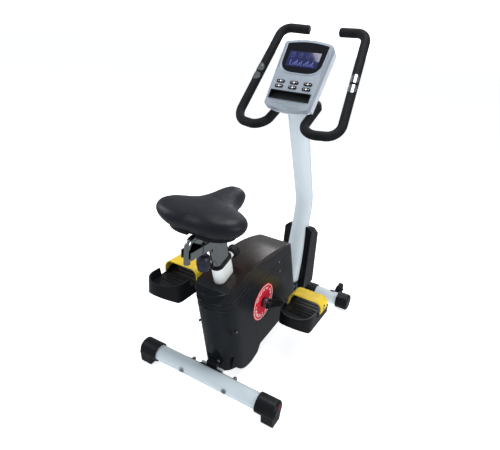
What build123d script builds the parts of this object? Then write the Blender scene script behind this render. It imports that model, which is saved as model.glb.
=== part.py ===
from build123d import *

import os
from math import cos, degrees, pi, radians, sin

# Upright exercise bike. Millimetres, +X towards the handlebar, +Y to the rider's left,
# +Z up, floor at Z = 0. X is measured here from the rear stabiliser's axis; export()
# moves every piece so that the origin ends up under the middle of the whole bike.

# ---- driving dimensions -------------------------------------------------------------
FIT = 0.05                 # radial running clearance of a shaft in its hole
GAP = 0.3                  # clearance between neighbours on different bodies
WALL = 2.5                 # moulded covers and frame tubes

STABILISER_R = 28.0
REAR_Z = 53.0
REAR_TUBE_HALF = 250.0
REAR_CAP_INNER = 202.0
REAR_CAP_OUTER = 272.0
FRONT_X, FRONT_Z = 775.0, 36.0
FRONT_TUBE_HALF = 225.0
FRONT_CAP_INNER = 189.0
FRONT_CAP_OUTER = 242.0
CAP_WALL = 6.0
REAR_BOLT_Y = 86.0
FRONT_BOLT_Y = 62.0

WHEEL_X, WHEEL_Y, WHEEL_Z, WHEEL_R, WHEEL_WIDTH = 824.0, 178.0, 64.0, 26.0, 18.0

SPINE_HALF_Y, SPINE_LOW, SPINE_HIGH = 20.0, 56.0, 92.0

SEAT_LEAN = 20.2           # degrees behind vertical
SEAT_RIM = (41.8, 473.0)   # centre of the seat tube's mouth, (x, z)
SEAT_TUBE = (80.0, 40.0)   # oval tube, fore-aft and sideways
SEAT_POST = (72.0, 33.0)
POST_ABOVE, POST_BELOW = 85.0, 225.0
KNOB_DROP = 14.0           # clamp knob's axis below the seat tube's mouth

SLEEVE = (-84.0, 60.0, 20.5, 553.0, 581.0)     # x rear, x front, half width, z low, z high
BAR_REAR, BAR_FRONT = -136.0, 50.0
STEM_X, STEM_R, STEM_LOW, STEM_TOP = -132.5, 9.5, 538.0, 608.0
STEM_FRONT, STEM_BEND = 12.0, 24.0
SLIDE_KNOB_X = -53.0

TILT_X, TILT_Z = -16.0, 612.0                  # saddle tilt bolt
SADDLE_REAR, SADDLE_NOSE = -146.0, 125.0
SADDLE_PITCH = 6.0

CRANK_X, CRANK_Z = 235.0, 253.0
CRANK_LENGTH, CRANK_ANGLE = 186.0, 27.0        # right crank points forward and down
CRANK_INNER, CRANK_OUTER = 76.0, 90.0
PEDAL_Y, PEDAL_HALF_Y = 168.0, 64.0
PEDAL_REAR, PEDAL_FRONT = -136.0, 84.0
PEDAL_LOW, PEDAL_FLOOR, PEDAL_RIM = -26.0, 10.0, 41.0

PULLEY_R, PULLEY_Y, PULLEY_WIDTH = 88.0, 55.0, 10.0
FLYWHEEL_X, FLYWHEEL_Z, FLYWHEEL_R = 180.0, 131.0, 98.0
FLYWHEEL_Y, FLYWHEEL_WIDTH = 36.0, 18.0
SMALL_PULLEY_R = 20.0
BELT_THICKNESS, BELT_WIDTH = 3.0, 8.0
AXLE_R = 7.5
BRAKE_PIVOT = (272.0, 74.0)

CASE_HALF_Y = 67.0
BADGE_R = 70.0

MAST_R, MAST_WALL, MAST_BEND_R = 36.0, 2.5, 190.0
MAST_FOOT_X, MAST_FOOT_Z = 624.0, 98.0
MAST_KNEE = (679.0, 493.0)
MAST_LEAN = 25.5                               # upper part, degrees behind vertical
TOWER_REAR, TOWER_HALF_Y, TOWER_LOW, TOWER_HIGH = 647.0, 62.0, 100.0, 396.0

BAR_R, FOAM_R = 12.5, 16.0
BAR_CROSS = (530.0, 923.0)                     # handlebar tilt axis, (x, z)

CONSOLE_FOOT = (375.0, 910.0)                  # lower edge of the console's face, (x, z)
CONSOLE_SLOPE = 55.3                           # face above horizontal, degrees
CONSOLE_LENGTH, CONSOLE_TOP_HALF, CONSOLE_FOOT_HALF = 246.0, 89.0, 81.0
CONSOLE_DEPTH, CONSOLE_SPLIT = 50.0, 24.0
BUTTON_ROWS, BUTTON_COLUMNS = (94.5, 76.0), (50.0, 0.0, -50.0)
BUTTON_SIZE = (30.0, 11.0)

BIKE_MIDDLE_X = (SADDLE_REAR + WHEEL_X + WHEEL_R) / 2


# ---- helpers ------------------------------------------------------------------------
def side_plane(y):
    """Plane seen from the bike's right: its own x is +X, its own y is +Z."""
    return Plane(origin=(0, y, 0), x_dir=(1, 0, 0), z_dir=(0, -1, 0))


def slab(face, y_low, y_high):
    """A side-view face made solid between two sideways positions."""
    return extrude(side_plane(y_high) * face, amount=y_high - y_low, dir=(0, -1, 0))


def rod(start, end, radius, bore=0.0):
    axis = Vector(*end) - Vector(*start)
    plane = Plane(origin=start, z_dir=axis)
    face = Circle(radius) - Circle(bore) if bore else Circle(radius)
    return extrude(plane * face, amount=axis.length)


def cross_rod(x, z, y_low, y_high, radius, bore=0.0):
    return rod((x, y_low, z), (x, y_high, z), radius, bore)


def block(x_low, x_high, y_low, y_high, z_low, z_high):
    middle = ((x_low + x_high) / 2, (y_low + y_high) / 2, (z_low + z_high) / 2)
    return Pos(*middle) * Box(x_high - x_low, y_high - y_low, z_high - z_low)


def swept(path, radius, bore=0.0):
    plane = Plane(origin=path @ 0, z_dir=path % 0)
    body = sweep(plane * Circle(radius), path=path)
    return body - sweep(plane * Circle(bore), path=path) if bore else body


def other_side(part):
    return mirror(part, about=Plane.XZ)


def stadium(length, width):
    return SlotOverall(length, width)


def export(name, *parts):
    solids = [solid for part in parts for solid in part.solids()]
    whole = Compound(solids).moved(Location((-BIKE_MIDDLE_X, 0, 0)))
    export_step(whole, f"parts/{name}.step")


# ---- stabilisers, levelling feet and transport wheels --------------------------------
def make_stabilisers():
    rear = cross_rod(0, REAR_Z, -REAR_TUBE_HALF, REAR_TUBE_HALF, STABILISER_R, STABILISER_R - WALL)
    front = cross_rod(FRONT_X, FRONT_Z, -FRONT_TUBE_HALF, FRONT_TUBE_HALF,
                      STABILISER_R, STABILISER_R - WALL)
    for y in (-REAR_BOLT_Y, REAR_BOLT_Y):
        rear -= rod((-40, y, REAR_Z), (40, y, REAR_Z), 4 + FIT)
    for y in (-FRONT_BOLT_Y, FRONT_BOLT_Y):
        front -= rod((FRONT_X, y, 0), (FRONT_X, y, 80), 4 + FIT)
    export("rear_stabiliser", rear)
    export("front_stabiliser", front)

    bolts = []
    for y in (-REAR_BOLT_Y, REAR_BOLT_Y):
        shank = rod((-STABILISER_R - 1, y, REAR_Z), (41, y, REAR_Z), 4)
        head = rod((-STABILISER_R - 4, y, REAR_Z), (-STABILISER_R - 0.5, y, REAR_Z), 9)
        head = chamfer(head.edges().group_by(Axis.X)[0], 2)
        nut = Pos(41, y, REAR_Z) * Rot(0, 90, 0) * extrude(RegularPolygon(7, 6), amount=5, both=True)
        cap = Pos(46, y, REAR_Z) * Sphere(5.5)
        bolts.append(shank + head + nut + cap)
    for y in (-FRONT_BOLT_Y, FRONT_BOLT_Y):
        shank = rod((FRONT_X, y, FRONT_Z - STABILISER_R - 2), (FRONT_X, y, 74), 4)
        head = rod((FRONT_X, y, 4.5), (FRONT_X, y, 7.7), 8)
        nut = Pos(FRONT_X, y, 73.5) * extrude(RegularPolygon(7, 6), amount=3, both=True)
        bolts.append(shank + head + nut)
    export("stabiliser_bolts", *bolts)


def make_levelling_feet():
    """An eccentric end cap that turns on the stabiliser's end, with one flat bearing face."""
    outer_r = STABILISER_R + CAP_WALL
    foot_half = 22.0
    wedge = Polygon((-outer_r + 1, REAR_Z - 4), (-foot_half - 3, 4), (-foot_half, 0),
                    (foot_half, 0), (foot_half + 3, 4), (outer_r - 1, REAR_Z - 4), align=None)
    body = cross_rod(0, REAR_Z, REAR_CAP_INNER, REAR_CAP_OUTER, outer_r)
    body = chamfer(body.edges().group_by(Axis.Y)[-1], 5)
    foot = slab(wedge, REAR_CAP_INNER + 26, REAR_CAP_OUTER - 2)
    arc_rib = (cross_rod(0, REAR_Z, REAR_CAP_OUTER - 1, REAR_CAP_OUTER + 1.5, 24, 21)
               - block(-4, 40, REAR_CAP_OUTER - 5, REAR_CAP_OUTER + 5, 0, 100))
    socket = cross_rod(0, REAR_Z, REAR_CAP_INNER - 5, REAR_TUBE_HALF + 2, STABILISER_R + 0.09)
    left = body + foot + arc_rib - socket
    export("levelling_foot_left", left)
    export("levelling_foot_right", other_side(left))


def make_front_caps_and_wheels():
    cap = cross_rod(FRONT_X, FRONT_Z, FRONT_CAP_INNER, FRONT_CAP_OUTER, FRONT_Z)
    cap = fillet(cap.edges().group_by(Axis.Y)[-1], 7)
    socket = cross_rod(FRONT_X, FRONT_Z, 150, FRONT_TUBE_HALF, STABILISER_R)
    cap -= socket
    arm = Polygon((FRONT_X + 10, FRONT_Z + 22), (FRONT_X + 24, FRONT_Z - 10), (WHEEL_X + 5, WHEEL_Z - 8),
                  (WHEEL_X + 5, WHEEL_Z + 8), (WHEEL_X - 5, WHEEL_Z + 8), align=None)
    inner_y = WHEEL_Y - WHEEL_WIDTH / 2 - 2
    outer_y = FRONT_CAP_INNER
    outer_ear = slab(arm, outer_y, outer_y + 4) - cross_rod(FRONT_X, FRONT_Z, 150, 300, STABILISER_R + 1)
    inner_ear = slab(arm, inner_y - 4, inner_y)
    strap = (cross_rod(FRONT_X, FRONT_Z, inner_y - 18, inner_y, STABILISER_R + 4)
             - block(0, FRONT_X, 0, 300, -10, 100))
    axle = cross_rod(WHEEL_X, WHEEL_Z, inner_y - 7, outer_y + 7, 3.5)
    bracket = strap + inner_ear - cross_rod(FRONT_X, FRONT_Z, 100, 300, STABILISER_R) + axle
    cap = cap + outer_ear - cross_rod(WHEEL_X, WHEEL_Z, 150, 300, 3.5)
    wheel = cross_rod(WHEEL_X, WHEEL_Z, WHEEL_Y - WHEEL_WIDTH / 2, WHEEL_Y + WHEEL_WIDTH / 2,
                      WHEEL_R, 3.5 + FIT)
    rims = wheel.edges().filter_by(GeomType.CIRCLE).filter_by(lambda e: e.radius > WHEEL_R - 1)
    wheel = fillet(rims, 4)
    for y in (WHEEL_Y - WHEEL_WIDTH / 2 - 1, WHEEL_Y + WHEEL_WIDTH / 2 - 4):
        wheel -= cross_rod(WHEEL_X, WHEEL_Z, y, y + 5, 18, 8)
    export("front_end_caps", cap, other_side(cap))
    export("wheel_brackets", bracket, other_side(bracket))
    export("transport_wheel_left", wheel)
    export("transport_wheel_right", other_side(wheel))


# ---- welded main frame ----------------------------------------------------------------
def seat_frame(distance):
    """Plane across the seat tube, its x towards the front, at a distance up from the mouth."""
    lean = radians(SEAT_LEAN)
    up = Vector(-sin(lean), 0, cos(lean))
    origin = Vector(SEAT_RIM[0], 0, SEAT_RIM[1]) + up * distance
    return Plane(origin=origin, x_dir=(cos(lean), 0, sin(lean)), z_dir=up)


def seat_prism(size, low, high):
    return extrude(seat_frame(low) * stadium(*size), amount=high - low)


def make_main_frame():
    spine = block(24, FRONT_X + 6, -SPINE_HALF_Y, SPINE_HALF_Y, SPINE_LOW, SPINE_HIGH)
    hollow = block(40, FRONT_X - 45, -SPINE_HALF_Y + WALL, SPINE_HALF_Y - WALL,
                   SPINE_LOW + WALL, SPINE_HIGH - WALL)
    rear_saddle = (cross_rod(0, REAR_Z, -42, 42, STABILISER_R + 4)
                   & block(15, 40, -42, 42, REAR_Z - 18, REAR_Z + 24))
    rear_ears = (cross_rod(0, REAR_Z, -102, 102, STABILISER_R + 4)
                 & block(15, 40, -102, 102, REAR_Z - 11, REAR_Z + 11))
    front_saddle = (cross_rod(FRONT_X, FRONT_Z, -84, 84, STABILISER_R + 6)
                    & block(700, 850, -84, 84, FRONT_Z - 8, 110))
    mast_seat = block(MAST_FOOT_X - 46, MAST_FOOT_X + 46, -44, 44, SPINE_HIGH - 1, MAST_FOOT_Z)
    riser = block(CRANK_X - 16, CRANK_X + 16, -14, 14, SPINE_HIGH - 1, CRANK_Z - 15)
    shell = cross_rod(CRANK_X, CRANK_Z, -34, 34, 23)
    bridge = block(CRANK_X - 90, CRANK_X - 10, -6, 6, CRANK_Z - 14, CRANK_Z + 14)
    dropout = slab(Polygon((140, SPINE_LOW + 4), (222, SPINE_LOW + 4), (205, FLYWHEEL_Z + 24),
                           (155, FLYWHEEL_Z + 24), align=None), SPINE_HALF_Y, SPINE_HALF_Y + 4.5)
    frame = (spine + rear_saddle + rear_ears + front_saddle + mast_seat + riser + bridge
             + dropout + shell - hollow)
    frame -= cross_rod(0, REAR_Z, -300, 300, STABILISER_R)
    frame -= cross_rod(FRONT_X, FRONT_Z, -300, 300, STABILISER_R)
    frame -= cross_rod(CRANK_X, CRANK_Z, -40, 40, 17.5)
    frame -= cross_rod(FLYWHEEL_X, FLYWHEEL_Z, 0, 60, AXLE_R)
    frame -= cross_rod(*BRAKE_PIVOT, 0, 60, 4)
    frame -= seat_prism(SEAT_TUBE, -500, 0)
    for y in (-REAR_BOLT_Y, REAR_BOLT_Y):
        frame -= rod((0, y, REAR_Z), (40, y, REAR_Z), 4 + FIT)
    for y in (-FRONT_BOLT_Y, FRONT_BOLT_Y):
        frame -= rod((FRONT_X, y, 0), (FRONT_X, y, 80), 4 + FIT)
        frame -= rod((FRONT_X, y, 70.5), (FRONT_X, y, 80), 9)
    export("main_frame", frame)

    inner = (SEAT_TUBE[0] - 2 * WALL, SEAT_TUBE[1] - 2 * WALL)
    tube = seat_prism(SEAT_TUBE, -440, 0) - seat_prism(inner, -440, 1)
    tube &= block(-100, 400, -60, 60, SPINE_HIGH, 600)
    plane = seat_frame(-KNOB_DROP)
    hole = extrude(Plane(origin=plane.origin, z_dir=plane.x_dir) * Circle(7), amount=60)
    boss_start = plane.origin + plane.x_dir * (SEAT_TUBE[0] / 2 - 1)
    boss = extrude(Plane(origin=boss_start, z_dir=plane.x_dir) * Circle(10.5), amount=15)
    bore = extrude(Plane(origin=plane.origin, z_dir=plane.x_dir) * Circle(6 + FIT), amount=90)
    tube = tube - hole + boss - bore
    export("seat_tube", tube)

    lip = seat_prism((SEAT_TUBE[0] + 5, SEAT_TUBE[1] + 5), 0, 8)
    lip = fillet(lip.edges().group_by(SortBy.LENGTH)[-1], 2)
    liner = seat_prism((inner[0] - 2 * FIT, inner[1] - 2 * FIT), -60, 1)
    bore_size = (SEAT_POST[0] + 2 * FIT, SEAT_POST[1] + 2 * FIT)
    bushing = lip + liner - seat_prism(bore_size, -61, 20)
    bushing -= extrude(Plane(origin=plane.origin, z_dir=plane.x_dir) * Circle(7), amount=60)
    export("post_bushing", bushing)


def make_height_knob():
    plane = seat_frame(-KNOB_DROP)

    def along(distance, radius, length):
        start = plane.origin + plane.x_dir * distance
        return extrude(Plane(origin=start, z_dir=plane.x_dir) * Circle(radius), amount=length)

    tip = SEAT_POST[0] / 2 + GAP
    head = SEAT_TUBE[0] / 2 + 16
    knob = along(head, 20.5, 24)
    rims = knob.edges().filter_by(GeomType.CIRCLE)
    knob = fillet(rims, 4)
    for step in range(16):
        angle = step * 2 * pi / 16
        offset = plane.y_dir * (22.3 * cos(angle)) + plane.z_dir * (22.3 * sin(angle))
        start = plane.origin + plane.x_dir * (head + 4) + offset
        knob -= extrude(Plane(origin=start, z_dir=plane.x_dir) * Circle(2.6), amount=16)
    screw = along(tip, 6, head - tip + 3)
    export("height_knob", knob + screw)


# ---- seat post, slider and saddle -------------------------------------------------------
def make_seat_post():
    rear, front, half, low, high = SLEEVE
    inner = (SEAT_POST[0] - 4, SEAT_POST[1] - 4)
    post = seat_prism(SEAT_POST, -POST_BELOW, POST_ABOVE + 30) - seat_prism(inner, -POST_BELOW, 200)
    post &= block(-200, 200, -60, 60, 0, low)
    sleeve = block(rear, front, -half, half, low, high)
    sleeve = fillet(sleeve.edges().filter_by(Axis.X), 3)
    sleeve -= block(rear - 1, front + 1, -half + 2, half - 2, low + 2, high - 2)
    nut = rod((SLIDE_KNOB_X, 0, low - 9), (SLIDE_KNOB_X, 0, low), 10)
    hole = rod((SLIDE_KNOB_X, 0, low - 20), (SLIDE_KNOB_X, 0, low + 3), 5 + FIT)
    export("seat_post", post + sleeve + nut - hole)


def make_slider():
    _, _, half, low, high = SLEEVE
    bar_half, bar_low, bar_high = half - 2 - FIT, low + 2 + FIT, high - 2 - FIT
    bar = block(BAR_REAR, BAR_FRONT, -bar_half, bar_half, bar_low, bar_high)
    bar -= block(BAR_REAR - 1, BAR_FRONT + 1, -bar_half + 3, bar_half - 3, bar_low + 3, bar_high + 1)
    path = FilletPolyline((STEM_X, 0, STEM_LOW), (STEM_X, 0, STEM_TOP), (STEM_FRONT, 0, STEM_TOP),
                          radius=STEM_BEND)
    leg = rod((STEM_X, 0, STEM_LOW), (STEM_X, 0, STEM_TOP - STEM_BEND), STEM_R)
    bar = bar - leg
    weld = block(BAR_REAR - 1, STEM_X + 14, -bar_half, -bar_half + 3, bar_low, bar_high)
    web = block(STEM_X, STEM_X + 14, -bar_half + 1, bar_half - 1, bar_low, bar_low + 3)
    stem = swept(path, STEM_R, STEM_R - 2)
    hollow = rod((STEM_X, 0, STEM_LOW - 1), (STEM_X, 0, STEM_TOP - STEM_BEND), STEM_R - 2)
    export("saddle_slider", bar + (weld - leg) + (web - hollow) + stem)

    knob_low, knob_high = 484.0, 532.0
    outline = Polyline((0, knob_low + 2), (0, knob_high), (17, knob_high), (21, knob_high - 8),
                       (21, knob_low + 22), (16, knob_low + 2), (0, knob_low + 2))
    knob = revolve(Plane.XZ * make_face(outline), axis=Axis.Z)
    for step in range(10):
        angle = step * 2 * pi / 10
        knob -= Pos(23.5 * cos(angle), 23.5 * sin(angle), 0) * rod((0, 0, knob_low), (0, 0, knob_high), 4)
    neck = rod((0, 0, knob_high - 1), (0, 0, SLEEVE[3] - 9 - GAP), 9)
    screw = rod((0, 0, knob_high - 5), (0, 0, bar_low - GAP), 5)
    export("slider_knob", Pos(SLIDE_KNOB_X, 0, 0) * (knob + neck + screw))


def saddle_outline(ratio=1.0):
    """Plan outline of the saddle, from nose to tail and back, scaled about its tilt bolt."""
    left = [(SADDLE_NOSE, 0), (112, 28), (76, 41), (34, 49), (0, 66), (-22, 100), (-52, 128),
            (-92, 131), (-126, 101), (-142, 50), (SADDLE_REAR + 6, 0)]
    right = [(x, -y) for x, y in reversed(left[1:-1])]
    points = [(TILT_X + (x - TILT_X) * ratio, y * ratio) for x, y in left + right]
    return make_face(Spline(points, periodic=True))


def make_saddle():
    pivot = Pos(TILT_X, 0, TILT_Z) * Rot(0, -SADDLE_PITCH, 0) * Pos(-TILT_X, 0, -TILT_Z)
    pad = extrude(Pos(0, 0, 637) * saddle_outline(), amount=52, dir=(0, 0, 1))
    pad = fillet(pad.edges().group_by(Axis.Z)[-1], 20)
    export("saddle_pad", pivot * pad)

    base = extrude(Pos(0, 0, 626) * saddle_outline(0.80), amount=11, dir=(0, 0, 1))
    ears = [block(TILT_X - 14, TILT_X + 14, y, y + 4, TILT_Z - 9, 627) for y in (18, -22)]
    base = base + ears[0] + ears[1] - block(-160, 40, -14, 14, 600, 633)
    base -= cross_rod(TILT_X, TILT_Z, -40, 40, 4 + FIT)
    export("saddle_base", pivot * base)

    clamp = block(TILT_X - 16, TILT_X + 16, -17.5, 17.5, TILT_Z - 16, TILT_Z + 11)
    clamp = fillet(clamp.edges().filter_by(Axis.Y), 6)
    clamp -= rod((TILT_X - 40, 0, STEM_TOP), (TILT_X + 40, 0, STEM_TOP), STEM_R)
    bolt = cross_rod(TILT_X, TILT_Z, -26, 26, 4) - rod((-60, 0, STEM_TOP), (60, 0, STEM_TOP), STEM_R)
    for y in (-30, 24):
        bolt += cross_rod(TILT_X, TILT_Z, y, y + 6, 7)
    clamp -= cross_rod(TILT_X, TILT_Z, -40, 40, 4)
    export("saddle_clamp", clamp + bolt)


# ---- crank, pedals, belt drive and flywheel ----------------------------------------------
def crank_end(side):
    """Pedal axle's place, (x, z), for side +1 (left) or -1 (right)."""
    angle = radians(CRANK_ANGLE)
    return (CRANK_X - side * CRANK_LENGTH * cos(angle), CRANK_Z + side * CRANK_LENGTH * sin(angle))


def make_crank():
    axle = cross_rod(CRANK_X, CRANK_Z, -CRANK_OUTER - 4, CRANK_OUTER + 4, 8.5)
    flange = cross_rod(CRANK_X, CRANK_Z, 36, 49.8, 16, 8.5)
    export("crank_axle", axle + flange)

    rings = []
    for y in (-33.5, 22.5):
        rings.append(cross_rod(CRANK_X, CRANK_Z, y, y + 11, 17.5 - FIT, 8.5 + FIT))
    for y in (FLYWHEEL_Y - 8.5, FLYWHEEL_Y + 5):
        rings.append(cross_rod(FLYWHEEL_X, FLYWHEEL_Z, y, y + 8, 14, AXLE_R))
    export("ball_bearings", *rings)

    low, high = PULLEY_Y - PULLEY_WIDTH / 2, PULLEY_Y + PULLEY_WIDTH / 2
    pulley = cross_rod(CRANK_X, CRANK_Z, low, high, PULLEY_R, 8.5)
    for step in range(6):
        angle = step * pi / 3
        pulley -= cross_rod(CRANK_X + 52 * cos(angle), CRANK_Z + 52 * sin(angle), 40, 70, 19)
    pulley -= cross_rod(CRANK_X, CRANK_Z, high - 3, high + 1, 80, 76)
    export("drive_pulley", pulley)

    for side, name in ((1, "left"), (-1, "right")):
        x, z = crank_end(side)
        low, high = (CRANK_INNER, CRANK_OUTER) if side > 0 else (-CRANK_OUTER, -CRANK_INNER)
        run = Vector(x - CRANK_X, 0, z - CRANK_Z)
        across = Vector(-run.Z, 0, run.X).normalized()
        start, end = Vector(CRANK_X, 0, CRANK_Z), Vector(x, 0, z)
        corners = [start + across * 15, end + across * 11, end - across * 11, start - across * 15]
        arm = slab(Polygon(*[(c.X, c.Z) for c in corners], align=None), low, high)
        arm = arm + cross_rod(CRANK_X, CRANK_Z, low, high, 20) + cross_rod(x, z, low, high, 15)
        arm -= cross_rod(CRANK_X, CRANK_Z, low - 5, high + 5, 8.5)
        arm -= cross_rod(x, z, low - 5, high + 5, 8)
        export(f"crank_arm_{name}", arm)

    axles = []
    for side in (1, -1):
        x, z = crank_end(side)
        inner, outer = CRANK_INNER - 2, PEDAL_Y + PEDAL_HALF_Y - 8
        ends = (inner, outer) if side > 0 else (-outer, -inner)
        axles.append(cross_rod(x, z, *ends, 8))
    export("pedal_axles", *axles)


def pedal_plan(inset=0.0):
    """Footplate outline round its axle: a half-round heel and a straight toe."""
    half = PEDAL_HALF_Y - inset
    heel = Pos(PEDAL_REAR + PEDAL_HALF_Y, 0) * Circle(half)
    rear, front = PEDAL_REAR + PEDAL_HALF_Y, PEDAL_FRONT - inset
    plate = Pos((rear + front) / 2, 0) * Rectangle(front - rear, 2 * half)
    return heel + plate


def make_pedals():
    wall = 5.0
    body = extrude(Pos(0, 0, PEDAL_LOW) * pedal_plan(), amount=PEDAL_RIM - PEDAL_LOW)
    body -= extrude(Pos(0, 0, PEDAL_FLOOR) * pedal_plan(wall), amount=60)
    body -= extrude(Pos(0, 0, PEDAL_LOW - 1) * pedal_plan(wall), amount=11)
    notch = Polygon((-46, PEDAL_RIM + 1), (-36, PEDAL_FLOOR), (-2, PEDAL_FLOOR + 4), (10, 26),
                    (62, 26), (70, PEDAL_FLOOR), (120, PEDAL_FLOOR), (120, PEDAL_RIM + 1), align=None)
    body -= slab(notch, -100, 100)
    lift = Polygon((-160, PEDAL_LOW - 1), (-92, PEDAL_LOW - 1), (-160, PEDAL_LOW + 40), align=None)
    body -= slab(lift, -100, 100)
    housing = cross_rod(0, 0, -PEDAL_HALF_Y + 1, PEDAL_HALF_Y - 1, 12)
    body = body + housing - cross_rod(0, 0, -100, PEDAL_HALF_Y - 7, 8 + FIT)
    reach = PEDAL_HALF_Y + 3.5
    band = RectangleRounded(2 * reach, 116, 26) - RectangleRounded(2 * reach - 7, 109, 23)
    strap = extrude(Plane(origin=(-10, 0, 0), x_dir=(0, 1, 0), z_dir=(1, 0, 0)) * band, amount=66)
    strap &= block(-40, 90, -120, 120, 13, 80)

    for side, name in ((1, "left"), (-1, "right")):
        x, z = crank_end(side)
        place = Pos(x, side * PEDAL_Y, z)
        foot = body if side > 0 else other_side(body)
        export(f"pedal_{name}", place * foot)
        export(f"pedal_strap_{name}", place * strap)


def belt_face(extra):
    big = Pos(CRANK_X, CRANK_Z) * Circle(PULLEY_R + extra)
    small = Pos(FLYWHEEL_X, FLYWHEEL_Z) * Circle(SMALL_PULLEY_R + extra)
    return make_hull((big + small).edges())


def make_drive():
    low, high = FLYWHEEL_Y - FLYWHEEL_WIDTH / 2, FLYWHEEL_Y + FLYWHEEL_WIDTH / 2
    wheel = cross_rod(FLYWHEEL_X, FLYWHEEL_Z, low, high, FLYWHEEL_R)
    for y in (low - 1, high - 5):
        wheel -= cross_rod(FLYWHEEL_X, FLYWHEEL_Z, y, y + 6, FLYWHEEL_R - 18, 24)
    hub = cross_rod(FLYWHEEL_X, FLYWHEEL_Z, high - 1, PULLEY_Y + PULLEY_WIDTH / 2, SMALL_PULLEY_R)
    wheel = wheel + hub - cross_rod(FLYWHEEL_X, FLYWHEEL_Z, 0, 80, 14 + FIT)
    export("flywheel", wheel)

    axle = cross_rod(FLYWHEEL_X, FLYWHEEL_Z, SPINE_HALF_Y + 0.2, 62, AXLE_R)
    axle += cross_rod(FLYWHEEL_X, FLYWHEEL_Z, FLYWHEEL_Y + 13.2, FLYWHEEL_Y + 18, 10)
    axle -= cross_rod(FLYWHEEL_X, FLYWHEEL_Z, 61, 63, 3)
    export("flywheel_axle", axle)

    middle = PULLEY_Y
    belt = slab(belt_face(GAP + BELT_THICKNESS) - belt_face(GAP),
                middle - BELT_WIDTH / 2, middle + BELT_WIDTH / 2)
    export("drive_belt", belt)


def make_brake():
    """Magnet carrier that swings on a pin at the flywheel's rim, and the motor that sets it."""
    inner = FLYWHEEL_R + 5
    low, high = FLYWHEEL_Y - FLYWHEEL_WIDTH / 2, FLYWHEEL_Y + FLYWHEEL_WIDTH / 2
    ring = cross_rod(FLYWHEEL_X, FLYWHEEL_Z, low, high, inner + 8, inner)
    sector = Polygon((FLYWHEEL_X, FLYWHEEL_Z), (FLYWHEEL_X + 200, FLYWHEEL_Z - 70),
                     (FLYWHEEL_X + 200, FLYWHEEL_Z + 110), align=None)
    shoe = ring & slab(sector, low, high)
    tail = slab(Polygon((BRAKE_PIVOT[0] - 6, BRAKE_PIVOT[1] + 4), (BRAKE_PIVOT[0] + 8, BRAKE_PIVOT[1] - 4),
                        (FLYWHEEL_X + inner + 9, FLYWHEEL_Z - 24), (FLYWHEEL_X + inner - 1, FLYWHEEL_Z - 24),
                        align=None), low, high)
    eye = cross_rod(*BRAKE_PIVOT, low, high, 9)
    arm = shoe + tail + eye - cross_rod(*BRAKE_PIVOT, low - 1, high + 1, 4 + FIT)
    arm -= cross_rod(FLYWHEEL_X, FLYWHEEL_Z, low - 1, high + 1, inner - 0.01)
    magnets = []
    for step in range(4):
        angle = radians(-14 + 14 * step)
        spot = Pos(FLYWHEEL_X, FLYWHEEL_Y, FLYWHEEL_Z) * Rot(0, -degrees(angle), 0)
        magnets.append(spot * (Pos(inner - 1.4, 0, 0) * Box(2.6, 14, 18)))
    for magnet in magnets:
        arm -= magnet
    export("brake_arm", arm)
    export("brake_magnets", *magnets)
    pin = cross_rod(*BRAKE_PIVOT, SPINE_HALF_Y - 2, high + 2, 4)
    export("brake_pin", pin)

    body = block(330, 384, -17, 17, SPINE_HIGH, SPINE_HIGH + 34)
    body = fillet(body.edges().filter_by(Axis.Z), 4)
    drum = rod((357, 0, SPINE_HIGH + 34), (357, 0, SPINE_HIGH + 44), 13)
    export("tension_motor", body + drum)


# ---- casing -------------------------------------------------------------------------------
def case_profile(inset=0.0):
    """Side outline of the closed casing."""
    i = inset
    belly_r = 117.0 - i
    left_angle = radians(222)
    right_angle = radians(300)
    cx, cz = FLYWHEEL_X, FLYWHEEL_Z
    belly_start = (cx + belly_r * cos(left_angle), cz + belly_r * sin(left_angle))
    belly_low = (cx, cz - belly_r)
    belly_end = (cx + belly_r * cos(right_angle), cz + belly_r * sin(right_angle))
    outline = [
        ThreePointArc(belly_start, belly_low, belly_end),
        Polyline(belly_end, (254 - i, 58 + i), (420, 74 + i), (572 - i, 92 + i), (572 - i, 180),
                 (504 - i, 352), (478 - i, 384 - i), (430 - i, 410 - i)),
        Spline((430 - i, 410 - i), (330, 432 - i), (200, 441 - i), (118, 434 - i), (72, 420 - i),
               (30, 404 - i), (-8 + i, 398 - i)),
        Polyline((-8 + i, 398 - i), (-34 + i, 352), (-28 + i, 300), (4 + i, 196), (44 + i, 108),
                 (44 + i, 49 + i), (72 - i * 0.4, 49 + i), belly_start),
    ]
    return make_face(outline)


def prow(inset=0.0):
    """Upright sheath that rounds the casing's rear and front ends in plan."""
    sections = []
    for z, rear, front in ((-20.0, 66.0, 640.0), (480.0, -72.0, 442.0)):
        half = CASE_HALF_Y - inset
        rear_x, front_x = rear + inset, front - inset
        nose = Pos(rear_x + 88 - inset, 0) * Ellipse(88 - inset, half)
        tail = Pos(front_x - 58 + inset, 0) * Ellipse(58 - inset, half)
        low, high = rear_x + 88 - inset, front_x - 58 + inset
        middle = Pos((low + high) / 2, 0) * Rectangle(high - low, 2 * half)
        sections.append(Pos(0, 0, z) * (nose + tail + middle))
    return loft(sections, ruled=True)


def case_solid(inset=0.0):
    return slab(case_profile(inset), -CASE_HALF_Y + inset, CASE_HALF_Y - inset) & prow(inset)


RIM_LINE = [(-60, 399), (30, 402), (48, 405), (82, 420), (122, 430), (165, 426), (280, 414), (600, 410)]


def neck_notches(grow):
    """The two notches that narrow the casing's rear foot, grown by a wall thickness."""
    both = block(30 - grow, 76 + grow, -80, 80, 30 - grow, 112 + grow)
    return both - block(20, 90, -48 + grow, 48 - grow, 20, 120)


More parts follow.
